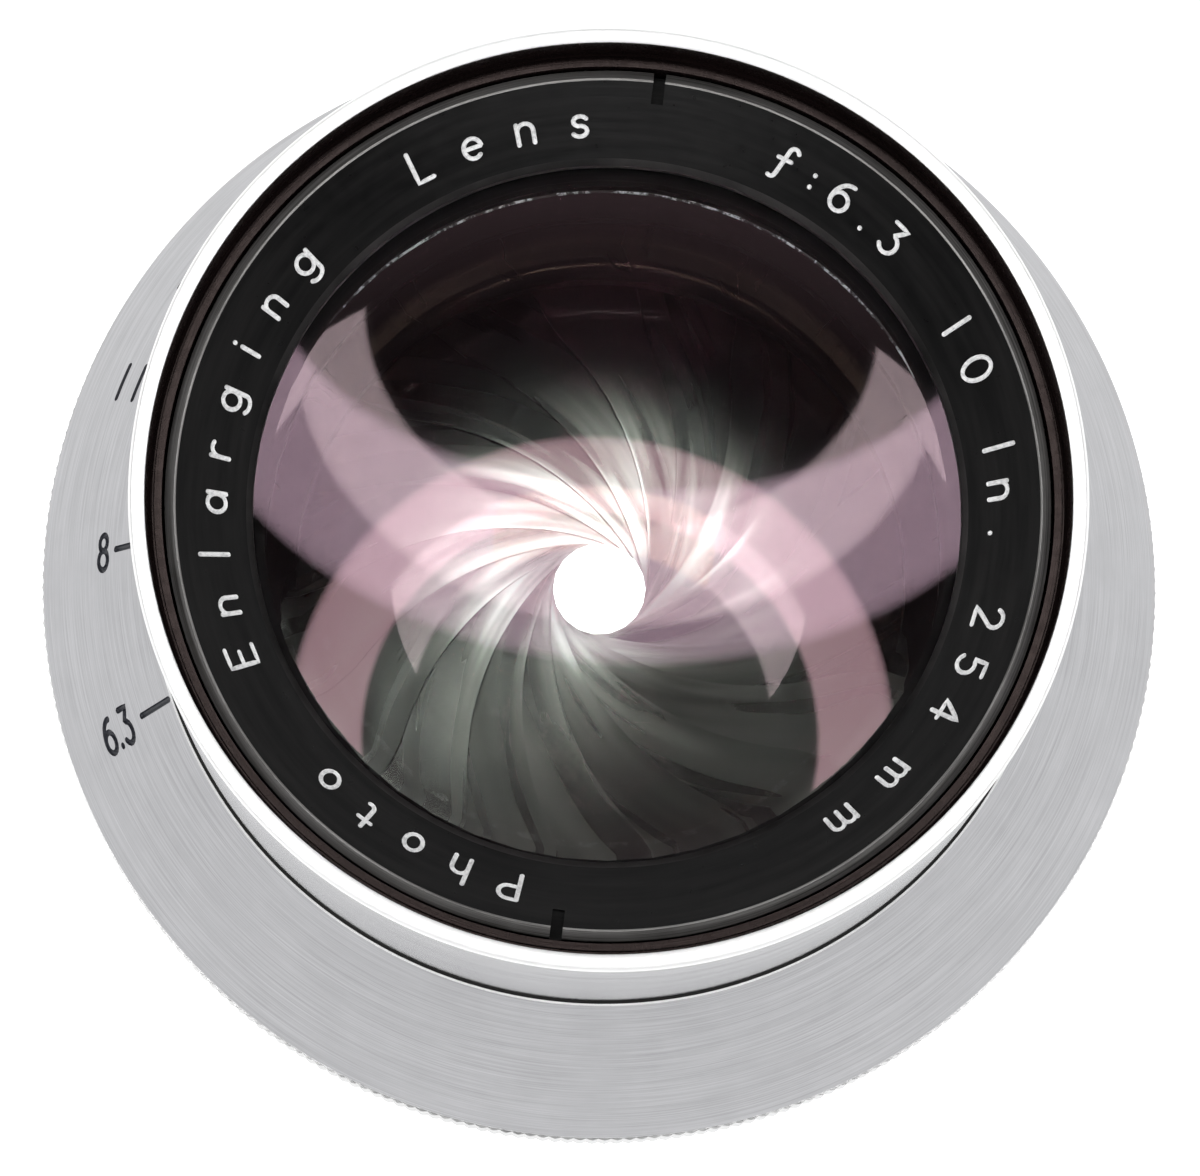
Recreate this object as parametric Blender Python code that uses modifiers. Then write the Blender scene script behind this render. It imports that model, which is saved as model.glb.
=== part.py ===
"""Barrel lens with an 18-leaf iris, for an enlarger or a view camera.

Standing on its rear end: +Z is the optical axis, towards the front rim, and z = 0 is the rear edge.
Lengths below are millimetres; MM turns them into Blender metres.
"""
import math

import bmesh
import bpy
from mathutils import Matrix, Vector
from mathutils.geometry import convex_hull_2d

MM = 0.001

# ---- round resolution
STEPS_OUTER = 64      # barrel, rings and everything that turns on the barrel
STEPS_CELL = 48       # cells, spacer, retaining rings
STEPS_GLASS = 40      # optical elements

# ---- clearances
RUNNING_FIT = 0.08    # radial, between a turning ring and what it turns on
SEAT_GAP = 0.15       # radial, between fixed round pieces
FACE_GAP = 0.2        # axial, between stacked pieces

# ---- barrel
RIM_RISE = 2.3        # front rim over the ledge round the name ring
RECESS_RADIUS = 26.3  # inside of the front rim; every other radius follows from it
RIM_WALL = 0.95
LEDGE_WIDTH = 0.8     # from the rim down to the bore of the front cell and the name ring
JOURNAL_STEP = 1.15   # from the barrel down to the bearing of the aperture ring
IRIS_WALL = 1.6       # between that bearing and the iris chamber
IRIS_SEAT_WIDTH = 2.1 # shoulder under the iris, down to the bore of the rear cell
IRIS_SEAT_Z = 18.9    # height of that shoulder over the rear edge
THREAD_STEP = 1.9     # mounting thread over the bearing, plain here
FRONT_STANDOFF = 6.0  # free space between the iris and the front cell's shoulder
REAR_TUBE_WALL = 3.0
REAR_TUBE_DEPTH = 13.0
COLLAR_WIDTH = 3.5    # seat on the lens board
COLLAR_THICKNESS = 2.5
INDEX_AZIMUTH = 121.5 # degrees, index mark on the barrel
INDEX_WIDTH = 0.45
INDEX_LENGTH = 2.3

# ---- aperture ring
RING_TOP_SETBACK = 0.1   # inside the barrel's radius
RING_CONE_WIDTH = 7.75
RING_CONE_HEIGHT = 10.0
RING_GRIP_HEIGHT = 4.7
RING_NECK_HEIGHT = 12.5  # length of the bearing bore
RING_WEB_DEPTH = 6.5     # metal between the cone and the neck, down from the top
RING_OVER_PIN = 9.6      # top of the ring over its drive pin
RING_NECK_WALL = 3.5
RING_SKIRT_WALL = 1.3
RING_TO_COLLAR = 1.4
KNURL_TEETH = 96
KNURL_DEPTH = 0.3
KNURL_LAND = 0.5      # plain edge above the teeth, proud of their tips by KNURL_SINK
KNURL_SINK = 0.1
RING_TRAVEL = 78.0    # degrees between the smallest and the largest stop

# ---- name ring
NAME_CHAMFER = 0.65
NAME_CHAMFER_DROP = 0.35
NAME_OVERLAP = 0.9    # over the edge of the front element
NAME_DISH = 3.25      # fall of the lettered face from its outer to its inner edge
NAME_WALL = 0.8       # height of the inner edge over the ring's underside
SPANNER_SLOT_WIDTH = 0.7
SPANNER_SLOT_LENGTH = 1.7
SPANNER_SLOT_DEPTH = 1.3
SPANNER_AZIMUTH = 83.0

# ---- optics (CURVE is a radius of curvature)
FRONT_CELL_WALL = 3.8 # round the front element
FRONT_EDGE = 3.0
FRONT_CURVE = 62.0
FRONT_REAR_CURVE = 1200.0
SPACER_LENGTH = 4.2
SECOND_STEP = 1.0     # smaller in radius than the front element
SECOND_CENTRE = 1.54
SECOND_FRONT_CURVE = 120.0
SECOND_FRONT_FLAT = 0.8  # ground edge round the front hollow
SECOND_REAR_CURVE = 53.0
SECOND_REAR_FLAT = 2.4   # ground edge round the rear hollow
REAR_CELL_WALL = 3.4  # round the rear elements
FLINT_CENTRE = 1.4
CEMENT_CURVE = 64.0
CEMENT_GAP = 0.05
CROWN_EDGE = 1.5323
CROWN_REAR_CURVE = 78.0

# ---- cells
CELL_NOSE_WALL = 1.75    # round the second element
CELL_NOSE_DROP = 2.0     # nose below the cell's shoulder
CELL_LIP_WIDTH = 1.8     # under the second element
CELL_LIP_THICKNESS = 1.0
REAR_CELL_LIP_WIDTH = 1.1
REAR_CELL_LIP_THICKNESS = 2.0
FLANGE_CLEARANCE = 0.4   # radial, in the rear tube
REAR_CELL_FLANGE_THICKNESS = 2.0
REAR_CELL_SKIRT = 3.5    # below the flange
REAR_RETAINER_THICKNESS = 2.2
REAR_RETAINER_WIDTH = 1.3

# ---- iris
LEAF_COUNT = 18
LEAF_MARGIN = 0.5     # from the open leaf to the chamber wall
LEAF_INNER_WIDTH = 3.3   # inside and outside the circle of the pins
LEAF_OUTER_WIDTH = 2.7
LEAF_END_RADIUS = 1.3
LEAF_TIP_MARGIN = 0.2875   # from the closed leaf's end to the chamber wall
LEAF_TAPER = 22.0     # degrees over which an end widens
LEAF_THICKNESS = 0.08
LEAF_RAMP = 0.65      # rise per radian about the leaf's twist centre
LEAF_FLOOR = 0.6      # under the lowest leaf
LEAF_HEADROOM = 0.5   # over the highest leaf
LEAF_SEGMENTS = 16
STOP_CLOSED = 2.77    # radius of the smallest stop
PIN_RADIUS = 0.45
PIN_FIT = 0.1
IRIS_SHOW = 0.2       # the open leaves stand inside the holes of their rings by this
BASE_THICKNESS = 1.0
CAM_PLATE_THICKNESS = 0.8
CAM_RIM_WALL = 1.62
CAM_RIM_HEIGHT = 1.75
RETAINER_THICKNESS = 0.8
DRIVE_PIN_RADIUS = 0.7
DRIVE_PIN_RISE = 0.75 # over the drive ring's plate
DRIVE_PIN_DEPTH = 2.0 # into the aperture ring
DRIVE_AZIMUTH = 300.0 # with the smallest stop set

# ---- rings behind the aperture ring
LOCK_RING_WALL = 2.65
LOCK_RING_THICKNESS = 1.5
LOCK_SCREW_RADIUS = 0.45
JAM_RING_WALL = 4.85
JAM_RING_THICKNESS = 3.0
JAM_RING_TO_COLLAR = 3.5
JAM_NOTCHES = 6
JAM_NOTCH = 2.2
JAM_NOTCH_DEPTH = 1.2


# ------------------------------------------------------------------ scene and materials
for old in list(bpy.data.objects):
    bpy.data.objects.remove(old, do_unlink=True)

lens_parts = bpy.data.collections.new("enlarger_lens")
bpy.context.scene.collection.children.link(lens_parts)
cutters = bpy.data.collections.new("cutters")
bpy.context.scene.collection.children.link(cutters)


def material(name, colour, roughness, metallic, transmission=0.0):
    mat = bpy.data.materials.new(name)
    mat.use_nodes = True
    bsdf = mat.node_tree.nodes["Principled BSDF"]
    bsdf.inputs["Base Color"].default_value = (*colour, 1.0)
    bsdf.inputs["Roughness"].default_value = roughness
    bsdf.inputs["Metallic"].default_value = metallic
    bsdf.inputs["Transmission Weight"].default_value = transmission
    return mat


ALUMINIUM = dict(colour=(0.78, 0.78, 0.79), roughness=0.28, metallic=1.0)
BLACK = dict(colour=(0.02, 0.02, 0.022), roughness=0.45, metallic=0.0)
BRASS = dict(colour=(0.60, 0.45, 0.20), roughness=0.35, metallic=1.0)
STEEL = dict(colour=(0.45, 0.46, 0.45), roughness=0.30, metallic=1.0)
GLASS = dict(colour=(0.95, 0.97, 0.98), roughness=0.02, metallic=0.0, transmission=1.0)


# ------------------------------------------------------------------ shape helpers
def add_object(name, mesh, look=None, location=(0.0, 0.0, 0.0), turn=0.0):
    obj = bpy.data.objects.new(name, mesh)
    obj.location = Vector(location) * MM
    obj.rotation_euler = (0.0, 0.0, math.radians(turn))
    if look is None:
        cutters.objects.link(obj)
        obj.hide_render = True
        obj.display_type = "WIRE"
    else:
        lens_parts.objects.link(obj)
        mesh.materials.append(material(name, **look))
    return obj


def turned(name, profile, steps, look=None):
    """Turn a profile of (radius, z) about Z; it runs down the outer side and back up the inner."""
    mesh = bpy.data.meshes.new(name)
    solid = profile[0][0] == 0.0
    edges = [(i, i + 1) for i in range(len(profile) - 1)]
    if not solid:
        edges.append((len(profile) - 1, 0))
    mesh.from_pydata([(r * MM, 0.0, z * MM) for r, z in profile], edges, [])
    obj = add_object(name, mesh, look)
    screw = obj.modifiers.new("turn", "SCREW")
    screw.axis = "Z"
    screw.steps = screw.render_steps = steps
    screw.use_merge_vertices = True
    screw.merge_threshold = 0.000001
    screw.use_smooth_shade = False
    return obj


def prisms(name, outlines, bottom, top):
    """Closed upright prisms, one for each outline of (x, y), in one cutter mesh."""
    bm = bmesh.new()
    for outline in outlines:
        low = [bm.verts.new((x * MM, y * MM, bottom * MM)) for x, y in outline]
        high = [bm.verts.new((x * MM, y * MM, top * MM)) for x, y in outline]
        count = len(outline)
        bm.faces.new(low[::-1])
        bm.faces.new(high)
        for i in range(count):
            j = (i + 1) % count
            bm.faces.new((low[i], low[j], high[j], high[i]))
    bmesh.ops.recalc_face_normals(bm, faces=bm.faces)
    mesh = bpy.data.meshes.new(name)
    bm.to_mesh(mesh)
    bm.free()
    return mesh


def rods(name, radius, spans, sides=12):
    """Closed round rods from one point to another, in one mesh."""
    bm = bmesh.new()
    for start, end in spans:
        start, end = Vector(start) * MM, Vector(end) * MM
        run = end - start
        place = Matrix.Translation((start + end) / 2) @ run.to_track_quat("Z", "Y").to_matrix().to_4x4()
        bmesh.ops.create_cone(bm, cap_ends=True, segments=sides, radius1=radius * MM,
                              radius2=radius * MM, depth=run.length, matrix=place)
    mesh = bpy.data.meshes.new(name)
    bm.to_mesh(mesh)
    bm.free()
    return mesh


def combine(obj, tool, operation):
    boolean = obj.modifiers.new(operation.lower(), "BOOLEAN")
    boolean.operation = operation
    boolean.solver = "EXACT"
    boolean.object = tool


def polar(radius, degrees):
    return (radius * math.cos(math.radians(degrees)), radius * math.sin(math.radians(degrees)))


def rotate(point, degrees, centre=(0.0, 0.0)):
    x, y = point[0] - centre[0], point[1] - centre[1]
    c, s = math.cos(math.radians(degrees)), math.sin(math.radians(degrees))
    return (centre[0] + x * c - y * s, centre[1] + x * s + y * c)


def bar(width, inner, outer, degrees):
    """Outline of a straight bar that points away from the axis."""
    corners = ((inner, -width / 2), (outer, -width / 2), (outer, width / 2), (inner, width / 2))
    return [rotate(corner, degrees) for corner in corners]


def sag(curve, radius):
    return curve - math.sqrt(curve * curve - radius * radius)


def surface(curve, radius, vertex, bend, rings=6):
    """Points of a spherical face from the axis out; bend +1 rises towards the edge, -1 falls."""
    return [(radius * i / rings, vertex + bend * sag(curve, radius * i / rings))
            for i in range(rings + 1)]


# ------------------------------------------------------------------ radii
barrel_radius = RECESS_RADIUS + RIM_WALL
front_bore = RECESS_RADIUS - LEDGE_WIDTH
journal_radius = barrel_radius - JOURNAL_STEP
iris_bore = journal_radius - IRIS_WALL
rear_bore = iris_bore - IRIS_SEAT_WIDTH
thread_radius = journal_radius + THREAD_STEP
rear_tube_bore = thread_radius - REAR_TUBE_WALL
collar_radius = thread_radius + COLLAR_WIDTH
ring_top_radius = barrel_radius - RING_TOP_SETBACK
ring_edge_radius = ring_top_radius + RING_CONE_WIDTH
glass_radius = front_bore - 2 * SEAT_GAP - FRONT_CELL_WALL
name_inner = glass_radius - NAME_OVERLAP
second_radius = glass_radius - SECOND_STEP
spacer_bore = second_radius - SECOND_FRONT_FLAT
second_hollow = second_radius - SECOND_REAR_FLAT
nose_radius = second_radius + SEAT_GAP + CELL_NOSE_WALL
cell_bore = second_radius - CELL_LIP_WIDTH
rear_glass_radius = rear_bore - 2 * SEAT_GAP - REAR_CELL_WALL
rear_cell_bore = rear_glass_radius - REAR_CELL_LIP_WIDTH
flange_radius = rear_tube_bore - FLANGE_CLEARANCE
rear_retainer_bore = rear_glass_radius - REAR_RETAINER_WIDTH
leaf_radius = iris_bore - LEAF_MARGIN - LEAF_OUTER_WIDTH   # of both pins when the iris is open
leaf_inner = leaf_radius - LEAF_INNER_WIDTH
iris_clear = leaf_inner + IRIS_SHOW
cam_rim_bore = iris_bore - RUNNING_FIT - CAM_RIM_WALL
lock_ring_radius = journal_radius + SEAT_GAP + LOCK_RING_WALL
jam_ring_radius = thread_radius + SEAT_GAP + JAM_RING_WALL


def leaf_swing_angle():
    """Degrees a leaf turns between the largest stop and the smallest."""
    return 2.0 * math.degrees(math.asin((leaf_inner - STOP_CLOSED) / (2.0 * leaf_radius)))


def leaf_arc_angle():
    """Degrees from pin to pin that bring the end of the closed leaf just inside the chamber wall."""
    share = (iris_bore - LEAF_END_RADIUS - LEAF_TIP_MARGIN) / leaf_radius
    swing = math.radians(leaf_swing)
    height = (3.0 - 2.0 * math.cos(swing) - share * share) / (4.0 * math.sin(swing / 2))
    return 180.0 - math.degrees(math.asin(height)) - leaf_swing / 2


leaf_swing = leaf_swing_angle()
leaf_arc = leaf_arc_angle()   # from pivot pin to drive pin
pivot = (leaf_radius, 0.0)
leaf_tip = polar(leaf_radius, leaf_arc)
twist_centre = rotate((0.0, 0.0), -leaf_swing, pivot)   # the stop's centre when closed, in the leaf


def leaf_rise(point):
    """Height of the leaf's underside over its pivot: a ramp about the twist centre."""
    start = math.atan2(pivot[1] - twist_centre[1], pivot[0] - twist_centre[0])
    angle = math.atan2(point[1] - twist_centre[1], point[0] - twist_centre[0]) - start
    while angle < -0.7:
        angle += 2.0 * math.pi
    return LEAF_RAMP * angle


# ------------------------------------------------------------------ heights
# the iris stack, upwards from its seat in the barrel
base_low = IRIS_SEAT_Z + FACE_GAP
base_top = base_low + BASE_THICKNESS
leaf_low = base_top + LEAF_FLOOR
cam_low = leaf_low + leaf_rise(leaf_tip) + LEAF_THICKNESS + LEAF_HEADROOM
cam_top = cam_low + CAM_PLATE_THICKNESS
cam_rim_top = cam_top + CAM_RIM_HEIGHT
drive_z = cam_top + DRIVE_PIN_RISE
retainer_low = cam_rim_top + FACE_GAP
iris_bore_top = retainer_low + RETAINER_THICKNESS + FACE_GAP
# the front group on top of it
cell_seat = iris_bore_top + FRONT_STANDOFF
cell_step = cell_seat + FACE_GAP
cell_low = cell_step - CELL_NOSE_DROP
second_low = cell_low + CELL_LIP_THICKNESS + FACE_GAP
second_edge = (SECOND_CENTRE + sag(SECOND_FRONT_CURVE, spacer_bore)
               + sag(SECOND_REAR_CURVE, second_hollow))
second_top = second_low + second_edge
spacer_low = second_top + FACE_GAP
spacer_top = spacer_low + SPACER_LENGTH
front_edge_low = spacer_top + FACE_GAP
front_edge_top = front_edge_low + FRONT_EDGE
front_rim_sag = sag(FRONT_CURVE, glass_radius)
name_low = front_edge_top + front_rim_sag - sag(FRONT_CURVE, name_inner) + FACE_GAP
cell_top = name_low - FACE_GAP
name_top = name_low + NAME_WALL + NAME_DISH
ledge_z = name_top - 0.05
rim_z = ledge_z + RIM_RISE
# the aperture ring round the drive pin, and the collar below it
ring_top = drive_z + RING_OVER_PIN
journal_top = ring_top + FACE_GAP
ring_edge = ring_top - RING_CONE_HEIGHT
ring_low = ring_edge - RING_GRIP_HEIGHT
ring_neck = ring_top - RING_NECK_HEIGHT
collar_top = ring_low - RING_TO_COLLAR
collar_low = collar_top - COLLAR_THICKNESS
# the rear group, hung below the iris
rear_cell_top = IRIS_SEAT_Z - 2 * FACE_GAP
flint_top = rear_cell_top - REAR_CELL_LIP_THICKNESS - FACE_GAP
flint_vertex = flint_top - FLINT_CENTRE
crown_vertex = flint_vertex - CEMENT_GAP
crown_centre = CROWN_EDGE + sag(CEMENT_CURVE, rear_glass_radius) + sag(CROWN_REAR_CURVE, rear_glass_radius)
flange_top = REAR_TUBE_DEPTH - FACE_GAP
flange_low = flange_top - REAR_CELL_FLANGE_THICKNESS
rear_cell_low = flange_low - REAR_CELL_SKIRT

# ------------------------------------------------------------------ barrel
lip = (barrel_radius - RECESS_RADIUS) / 2
lip_centre = RECESS_RADIUS + lip
rounding = [(lip_centre + lip * math.sin(math.radians(a)), rim_z - lip + lip * math.cos(math.radians(a)))
            for a in (-90, -60, -30, 0, 30, 60, 90)]
barrel = turned("main_barrel", rounding + [
    (barrel_radius, journal_top),
    (journal_radius, journal_top),
    (journal_radius, collar_top),
    (collar_radius, collar_top),
    (collar_radius, collar_low),
    (thread_radius, collar_low),
    (thread_radius, 0.0),
    (rear_tube_bore, 0.0),
    (rear_tube_bore, REAR_TUBE_DEPTH),
    (rear_bore, REAR_TUBE_DEPTH),
    (rear_bore, IRIS_SEAT_Z),
    (iris_bore, IRIS_SEAT_Z),
    (iris_bore, cell_seat),
    (front_bore, cell_seat),
    (front_bore, ledge_z),
    (RECESS_RADIUS, ledge_z)], STEPS_OUTER, ALUMINIUM)

# slot that the drive pin swings in, from the smallest stop to the largest
slot_half = math.degrees((DRIVE_PIN_RADIUS + PIN_FIT) / journal_radius)
slot_start = DRIVE_AZIMUTH + slot_half + 0.6
slot_end = DRIVE_AZIMUTH - RING_TRAVEL - slot_half - 0.6
slot_angles = [slot_end + (slot_start - slot_end) * i / 16 for i in range(17)]
slot_outline = ([polar(journal_radius + 1.0, a) for a in slot_angles]
                + [polar(iris_bore - 1.2, a) for a in reversed(slot_angles)])
slot_low = drive_z - DRIVE_PIN_RADIUS - PIN_FIT
slot_high = drive_z + DRIVE_PIN_RADIUS + PIN_FIT
combine(barrel, add_object("slot_cutter", prisms("slot_cutter", [slot_outline], slot_low, slot_high)),
        "DIFFERENCE")
index_outline = bar(INDEX_WIDTH, barrel_radius - 0.3, barrel_radius + 1.0, INDEX_AZIMUTH)
combine(barrel, add_object("index_cutter", prisms("index_cutter", [index_outline],
                                                  journal_top + 0.5, journal_top + 0.5 + INDEX_LENGTH)),
        "DIFFERENCE")

# ------------------------------------------------------------------ name ring
name_outer = front_bore - SEAT_GAP
name_ring = turned("name_ring", [
    (name_outer - NAME_CHAMFER, name_top),
    (name_outer, name_top - NAME_CHAMFER_DROP),
    (name_outer, name_low),
    (name_inner, name_low),
    (name_inner, name_low + NAME_WALL - 0.2),
    (name_inner + 0.35, name_low + NAME_WALL + 0.15)], STEPS_OUTER, BLACK)
slots = [bar(SPANNER_SLOT_WIDTH, name_outer - SPANNER_SLOT_LENGTH, name_outer + 0.5, SPANNER_AZIMUTH + turn)
         for turn in (0.0, 180.0)]
combine(name_ring, add_object("spanner_cutter", prisms("spanner_cutter", slots,
                                                       name_top - SPANNER_SLOT_DEPTH, name_top + 1.0)),
        "DIFFERENCE")

# ------------------------------------------------------------------ front group
front_face = surface(FRONT_CURVE, glass_radius, front_edge_top + front_rim_sag, -1)
front_back = surface(FRONT_REAR_CURVE, glass_radius, front_edge_low - sag(FRONT_REAR_CURVE, glass_radius),
                     1, rings=2)
turned("front_element", front_face + front_back[::-1], STEPS_GLASS, GLASS)

turned("cell_spacer", [(glass_radius, spacer_top), (glass_radius, spacer_low),
                       (spacer_bore, spacer_low), (spacer_bore, spacer_top)], STEPS_CELL, BLACK)

second_face = surface(SECOND_FRONT_CURVE, spacer_bore, second_top - sag(SECOND_FRONT_CURVE, spacer_bore),
                      1, rings=4)
second_back = surface(SECOND_REAR_CURVE, second_hollow,
                      second_low + sag(SECOND_REAR_CURVE, second_hollow), -1, rings=5)
turned("second_element", second_face + [(second_radius, second_top), (second_radius, second_low)]
       + second_back[::-1], STEPS_GLASS, GLASS)

turned("front_cell", [
    (front_bore - SEAT_GAP, cell_top),
    (front_bore - SEAT_GAP, cell_step),
    (nose_radius, cell_step),
    (nose_radius, cell_low),
    (cell_bore, cell_low),
    (cell_bore, cell_low + CELL_LIP_THICKNESS),
    (second_radius + SEAT_GAP, cell_low + CELL_LIP_THICKNESS),
    (second_radius + SEAT_GAP, second_top),
    (glass_radius + SEAT_GAP, second_top),
    (glass_radius + SEAT_GAP, cell_top)], STEPS_CELL, BLACK)

# ------------------------------------------------------------------ rear group
flint_back = surface(CEMENT_CURVE, rear_glass_radius, flint_vertex, -1)
turned("rear_flint_element", [(0.0, flint_top), (rear_glass_radius, flint_top)] + flint_back[::-1],
       STEPS_GLASS, GLASS)
crown_face = surface(CEMENT_CURVE, rear_glass_radius, crown_vertex, -1)
crown_back = surface(CROWN_REAR_CURVE, rear_glass_radius, crown_vertex - crown_centre, 1)
turned("rear_crown_element", crown_face + crown_back[::-1], STEPS_GLASS, GLASS)

rear_shell = rear_bore - SEAT_GAP
rear_inner = rear_glass_radius + SEAT_GAP
turned("rear_cell", [
    (rear_shell, rear_cell_top),
    (rear_shell, flange_top),
    (flange_radius, flange_top),
    (flange_radius, flange_low),
    (rear_shell, flange_low),
    (rear_shell, rear_cell_low),
    (rear_inner, rear_cell_low),
    (rear_inner, rear_cell_top - REAR_CELL_LIP_THICKNESS),
    (rear_cell_bore, rear_cell_top - REAR_CELL_LIP_THICKNESS),
    (rear_cell_bore, rear_cell_top)], STEPS_CELL, BLACK)
rear_stop = crown_vertex - crown_centre + sag(CROWN_REAR_CURVE, rear_retainer_bore) - FACE_GAP
rear_stop_low = rear_stop - REAR_RETAINER_THICKNESS
rear_retainer = turned("rear_retaining_ring", [
    (rear_glass_radius, rear_stop), (rear_glass_radius, rear_stop_low),
    (rear_retainer_bore, rear_stop_low), (rear_retainer_bore, rear_stop)], STEPS_CELL, BLACK)
retainer_slots = [bar(0.9, rear_retainer_bore - 1.0, rear_glass_radius + 1.0, turn) for turn in (0.0, 180.0)]
combine(rear_retainer, add_object("rear_spanner_cutter", prisms(
    "rear_spanner_cutter", retainer_slots, rear_stop_low - 1.0, rear_stop_low + 0.8)), "DIFFERENCE")

# ------------------------------------------------------------------ iris
def leaf_width(degrees, full):
    share = min(1.0, max(0.0, min(degrees, leaf_arc - degrees) / LEAF_TAPER))
    return LEAF_END_RADIUS + (full - LEAF_END_RADIUS) * share * share * (3.0 - 2.0 * share)


def leaf_rows():
    """Rows of points across the open leaf, end to end, in a frame on the optical axis."""
    cap = math.degrees(LEAF_END_RADIUS / leaf_radius)
    rows = [(-cap, LEAF_END_RADIUS * 0.35, LEAF_END_RADIUS * 0.35),
            (-0.7 * cap, LEAF_END_RADIUS * 0.72, LEAF_END_RADIUS * 0.72)]
    for i in range(LEAF_SEGMENTS + 1):
        at = leaf_arc * i / LEAF_SEGMENTS
        rows.append((at, leaf_width(at, LEAF_INNER_WIDTH), leaf_width(at, LEAF_OUTER_WIDTH)))
    rows += [(leaf_arc + 0.7 * cap, LEAF_END_RADIUS * 0.72, LEAF_END_RADIUS * 0.72),
             (leaf_arc + cap, LEAF_END_RADIUS * 0.35, LEAF_END_RADIUS * 0.35)]
    return [[polar(leaf_radius - inner, at), polar(leaf_radius, at), polar(leaf_radius + outer, at)]
            for at, inner, outer in rows]


def leaf_mesh(name):
    """Crescent leaf in its closed place, with the pivot at the origin."""
    bm = bmesh.new()
    low, high = [], []
    for row in leaf_rows():
        for layer, lift in ((low, 0.0), (high, LEAF_THICKNESS)):
            layer.append([])
            for point in row:
                x, y = rotate(point, leaf_swing, pivot)
                z = leaf_rise(point) + lift
                layer[-1].append(bm.verts.new(((x - pivot[0]) * MM, (y - pivot[1]) * MM, z * MM)))
    for i in range(len(low) - 1):
        for side in (0, 1):
            bm.faces.new((low[i][side], low[i][side + 1], low[i + 1][side + 1], low[i + 1][side]))
            bm.faces.new((high[i][side], high[i + 1][side], high[i + 1][side + 1], high[i][side + 1]))
        bm.faces.new((low[i][0], low[i + 1][0], high[i + 1][0], high[i][0]))
        bm.faces.new((low[i][2], high[i][2], high[i + 1][2], low[i + 1][2]))
    for side in (0, 1):
        bm.faces.new((low[0][side], high[0][side], high[0][side + 1], low[0][side + 1]))
        bm.faces.new((low[-1][side], low[-1][side + 1], high[-1][side + 1], high[-1][side]))
    bmesh.ops.recalc_face_normals(bm, faces=bm.faces)
    bmesh.ops.triangulate(bm, faces=bm.faces)
    mesh = bpy.data.meshes.new(name)
    bm.to_mesh(mesh)
    bm.free()
    return mesh


pivot_pin_low = base_low + 0.1 - leaf_low
tip_closed = rotate(leaf_tip, leaf_swing, pivot)
tip_local = (tip_closed[0] - pivot[0], tip_closed[1] - pivot[1])
tip_low = leaf_rise(leaf_tip) + LEAF_THICKNESS / 2
tip_high = cam_top - 0.1 - leaf_low
for number in range(LEAF_COUNT):
    turn = 360.0 * number / LEAF_COUNT
    at = (*polar(leaf_radius, turn), leaf_low)
    leaf_name = f"iris_leaf_{number + 1:02d}"
    leaf = add_object(leaf_name, leaf_mesh(leaf_name), STEEL, at, turn)
    pins = rods("leaf_pins", PIN_RADIUS, [((0.0, 0.0, pivot_pin_low), (0.0, 0.0, LEAF_THICKNESS / 2)),
                                          ((*tip_local, tip_low), (*tip_local, tip_high))], sides=8)
    combine(leaf, add_object(f"leaf_pins_{number + 1:02d}", pins, None, at, turn), "UNION")

iris_base = turned("iris_base_ring", [
    (iris_bore - SEAT_GAP, base_top), (iris_bore - SEAT_GAP, base_low),
    (iris_clear, base_low), (iris_clear, base_top)], STEPS_CELL, BLACK)
hole = PIN_RADIUS + PIN_FIT
pivot_holes = [[(polar(leaf_radius, 360.0 * n / LEAF_COUNT)[0] + polar(hole, 45.0 * k)[0],
                 polar(leaf_radius, 360.0 * n / LEAF_COUNT)[1] + polar(hole, 45.0 * k)[1])
                for k in range(8)] for n in range(LEAF_COUNT)]
combine(iris_base, add_object("pivot_cutter", prisms("pivot_cutter", pivot_holes, base_low - 1.0,
                                                     base_top + 1.0)), "DIFFERENCE")

cam_ring = turned("iris_drive_ring", [
    (iris_bore - RUNNING_FIT, cam_rim_top), (iris_bore - RUNNING_FIT, cam_low),
    (iris_clear, cam_low), (iris_clear, cam_top),
    (cam_rim_bore, cam_top), (cam_rim_bore, cam_rim_top)],
    STEPS_OUTER, BLACK)


def cam_slot(first_turn):
    """Hull round the path of one drive pin, seen from the turning ring."""
    steps = 8
    slot_radius = PIN_RADIUS + PIN_FIT
    spots = []
    for i in range(steps + 1):
        share = -0.04 + 1.08 * i / steps
        at = rotate(leaf_tip, leaf_swing * (1.0 - share), pivot)
        centre = rotate(at, first_turn + RING_TRAVEL * share)
        for k in range(12):
            x, y = polar(slot_radius, 30.0 * k)
            spots.append((centre[0] + x, centre[1] + y))
    return [spots[i] for i in convex_hull_2d(spots)]


cam_slots = [cam_slot(360.0 * n / LEAF_COUNT) for n in range(LEAF_COUNT)]
combine(cam_ring, add_object("cam_cutter", prisms("cam_cutter", cam_slots, cam_low - 1.0,
                                                  cam_top + 0.1)), "DIFFERENCE")
drive_direction = polar(1.0, DRIVE_AZIMUTH)
drive_pin_end = journal_radius + RUNNING_FIT + DRIVE_PIN_DEPTH


def along_drive(radius):
    return (radius * drive_direction[0], radius * drive_direction[1], drive_z)


combine(cam_ring, add_object("cam_pin_cutter", rods(
    "cam_pin_cutter", DRIVE_PIN_RADIUS + PIN_FIT, [(along_drive(cam_rim_bore - 1.0),
                                                    along_drive(iris_bore + 1.0))])), "DIFFERENCE")
add_object("drive_pin", rods("drive_pin", DRIVE_PIN_RADIUS, [(along_drive(cam_rim_bore + 0.2),
                                                              along_drive(drive_pin_end))]), STEEL)
turned("iris_retaining_ring", [
    (iris_bore - SEAT_GAP, retainer_low + RETAINER_THICKNESS), (iris_bore - SEAT_GAP, retainer_low),
    (nose_radius + SEAT_GAP, retainer_low),
    (nose_radius + SEAT_GAP, retainer_low + RETAINER_THICKNESS)], STEPS_CELL, STEEL)

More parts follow.
